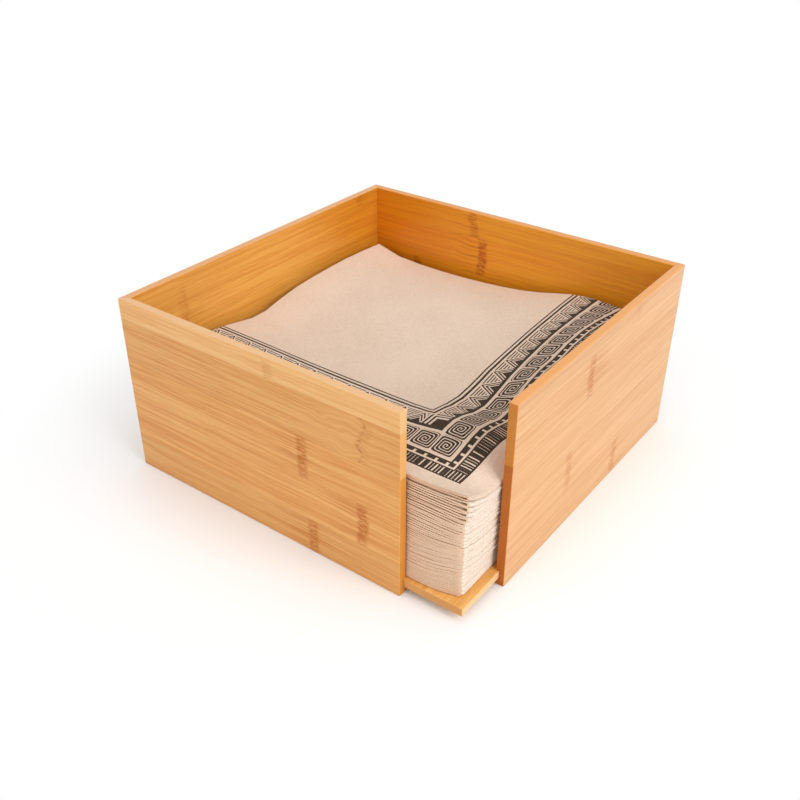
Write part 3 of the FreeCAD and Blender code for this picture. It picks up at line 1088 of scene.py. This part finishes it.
def ripple(draw, longest):
    """A random wave from -1 to 1, as a function of the place along a fold."""
    waves = [
        (draw.uniform(SHORTEST_WAVE, longest), draw.uniform(0, 2 * math.pi), draw.uniform(*WAVE_SIZES))
        for _ in range(WAVE_COUNT)
    ]
    total = sum(size for _, _, size in waves)

    def wave(place):
        turns = place * 2 * math.pi
        return sum(size * math.sin(turns / length + turn) for length, turn, size in waves) / total

    return wave


def up_the_stack(pair, lift):
    """The first number at the foot of the stack and the sum of both at its top."""
    return pair[0] + pair[1] * lift


class FoldedNapkin:
    """How one napkin is folded and lies in the stack, drawn at random but the same in each run."""

    def __init__(self, number):
        draw = random.Random(number * NAPKIN_SEED)
        count = FLAT_NAPKINS + WAVY_NAPKINS + 1
        lift = number / count
        pressed = number <= FLAT_NAPKINS
        self.number = number
        self.leaning = number > count - LEANING_NAPKINS
        self.thickness = (PRESSED_PITCH if pressed else LOOSE_PITCH) - AIR
        if pressed:
            self.leaf = PRESSED_LEAF
        else:
            self.leaf = MOUTH_LEAF if self.leaning else draw.uniform(*LOOSE_LEAF)
        self.pitch = (self.thickness - self.leaf) / 3
        self.slide_x = draw.uniform(0, up_the_stack(SLIDE_LEFT, lift))
        self.slide_y = up_the_stack(SLIDE_FRONT, lift) + draw.uniform(-FRONT_STRAY, FRONT_STRAY)
        self.lean = draw.uniform(*LEAN) if self.leaning else 0
        self.twist = math.radians(draw.uniform(-TWIST, TWIST))
        self.left_ripples = (ripple(draw, LEFT_WAVE), ripple(draw, LEFT_WAVE))
        self.left_insets = [draw.uniform(0, up_the_stack(LEFT_INSET, lift)) for _ in range(2)]
        self.left_wander = up_the_stack(LEFT_WANDER, lift)
        self.front_ripple = ripple(draw, FRONT_WAVE)
        self.pinch_wave = ripple(draw, PINCH_WAVE)
        self.closed = 1 - self.leaf / self.pitch  # brings the napkin's own leaves together
        self.pinch = draw.choice(PINCHES) * lift**2
        self.tuck = TUCK * (1 - lift)
        self.corner_round = up_the_stack(CORNER_ROUND, lift)
        self.hollow_depth = draw.uniform(*(MOUTH_DEPTH if self.leaning else HOLLOW_DEPTH))
        self.tightest = min(1, (self.leaf + LEAF_AIR) / self.pitch)
        self.dent = DENT * lift * draw.uniform(*DENT_SHARE)
        self.dent_place = draw.uniform(*DENT_PLACE)

    def tight(self, x, up):
        """How close a pair's leaves lie: together at the hollow end of the front fold, else apart."""
        near = bell(x, HOLLOW_REACH) / (1 + math.exp((up - self.hollow_depth) / HOLLOW_EDGE))
        return 1 - (1 - self.tightest) * near

    def place(self, sheet_place):
        """Where a place on the open napkin lies in the stack."""
        x, y, height = fold(sheet_place, self.pitch, self.tight)
        x, y = round_corner(x, y, self.corner_round)
        upper_half = sheet_place[1] > 0
        # each fold wanders a little and is squeezed flatter here and there
        wander = self.left_insets[upper_half] + self.left_wander * self.left_ripples[upper_half](y)
        x += wander * math.exp(-x / WANDER_REACH)
        y += FRONT_WANDER * self.front_ripple(x) * math.exp(-y / WANDER_REACH)
        wave = self.pinch_wave(y)
        squeeze = self.closed * (SQUEEZE + SQUEEZE * wave)
        squeeze += self.pinch * max(0, PINCH_SPREAD + wave)
        height *= 1 - squeeze * math.exp(-x / PINCH_REACH) * (1 - bell(y, PINCH_START))
        if self.leaning:
            beside = (x - MOUTH_PINCH_PLACE) / MOUTH_PINCH_REACH[0]
            height *= 1 - MOUTH_PINCH * math.exp(-(beside**2) - (y / MOUTH_PINCH_REACH[1]) ** 2)
        beside = (x - self.dent_place) / DENT_REACH[0]
        y += self.dent * math.exp(-(beside**2) - y / DENT_REACH[1])
        # the left folds are drawn in towards the folded corner, and the top ones lean out over it
        x += self.tuck * math.exp(-((y / TUCK_REACH[1]) ** 2) - x / TUCK_REACH[0])
        y -= self.lean * math.exp(-((x / LEAN_REACH[0]) ** 2) - y / LEAN_REACH[1])
        x += self.leaf / 2 + self.slide_x - self.twist * y + NAPKIN_LEFT
        y += self.leaf / 2 + self.slide_y + self.twist * x + NAPKIN_FRONT
        if x > FRONT_WALL_START:
            y = max(y, FRONT_WALL_INSIDE + self.leaf / 2 + AIR)
        if y > LEFT_WALL_START:
            x = max(x, LEFT_WALL_INSIDE + self.leaf / 2 + AIR)
        floor, ceiling = napkin_space(self.number, x, y)
        z = (floor + ceiling) / 2 + height * (ceiling - floor) / self.thickness
        return Vector((x, y, z)) * MM


def make_napkin(pattern, number, name):
    """One napkin folded in quarters, in its place in the stack."""
    folded = FoldedNapkin(number)
    lines = line_places(folded.pitch)
    middle_line = (len(lines) - 1) / 2
    napkin = pattern.copy()
    napkin.data = pattern.data.copy()
    napkin.name = name
    napkin.data.name = name
    bpy.context.scene.collection.objects.link(napkin)
    mesh = napkin.data
    open_places = []
    for vertex in mesh.vertices:
        column = int(round(vertex.co.x + middle_line))
        row = int(round(vertex.co.y + middle_line))
        open_places.append((lines[column], lines[row]))
    for corner in mesh.loops:
        across, up = open_places[corner.vertex_index]
        mesh.uv_layers[0].data[corner.index].uv = (across / SHEET_SIDE + 0.5, up / SHEET_SIDE + 0.5)
    for vertex, place in zip(mesh.vertices, open_places):
        vertex.co = folded.place(place)
    solid = napkin.modifiers.new("paper", "SOLIDIFY")
    solid.thickness = folded.leaf * MM
    solid.offset = 0
    solid.use_even_offset = True
    deselect()
    bpy.context.view_layer.objects.active = napkin
    napkin.select_set(True)
    bpy.ops.object.modifier_apply(modifier=solid.name)
    bpy.ops.object.shade_smooth_by_angle(angle=math.radians(SMOOTH_ANGLE))
    return napkin


def make_napkins():
    """The stack's plain napkins and the printed one on top, each in place of its own node."""
    tissue = paper_group()
    border = border_group()
    plain = [
        paper_material(f"plain_tissue_{number}", number * PLAIN_SEED, PLAIN_PAPER, tissue)
        for number in (1, 2, 3)
    ]
    printed = paper_material("printed_tissue", PRINTED_SEED, PRINTED_PAPER, tissue, border)
    pattern = open_napkin()
    for number in range(1, FLAT_NAPKINS + WAVY_NAPKINS + 2):
        is_top = number > FLAT_NAPKINS + WAVY_NAPKINS
        name = "printed_napkin" if is_top else f"folded_napkin_{number:02d}"
        napkin = make_napkin(pattern, number, name)
        napkin.data.materials.clear()
        napkin.data.materials.append(printed if is_top else plain[number % 3])
        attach(napkin, "top_napkin" if is_top else "napkin_stack")
        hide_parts("top_napkin" if is_top else f"napkin_{number:02d}")
    bpy.data.objects.remove(pattern)


# ---- The whole scene ---------------------------------------------------------
add_camera()
set_world()
for softbox in SOFTBOXES:
    add_softbox(*softbox)
add_floor()
dress_boards()
make_napkins()

bpy.context.scene.view_settings.view_transform = "Standard"
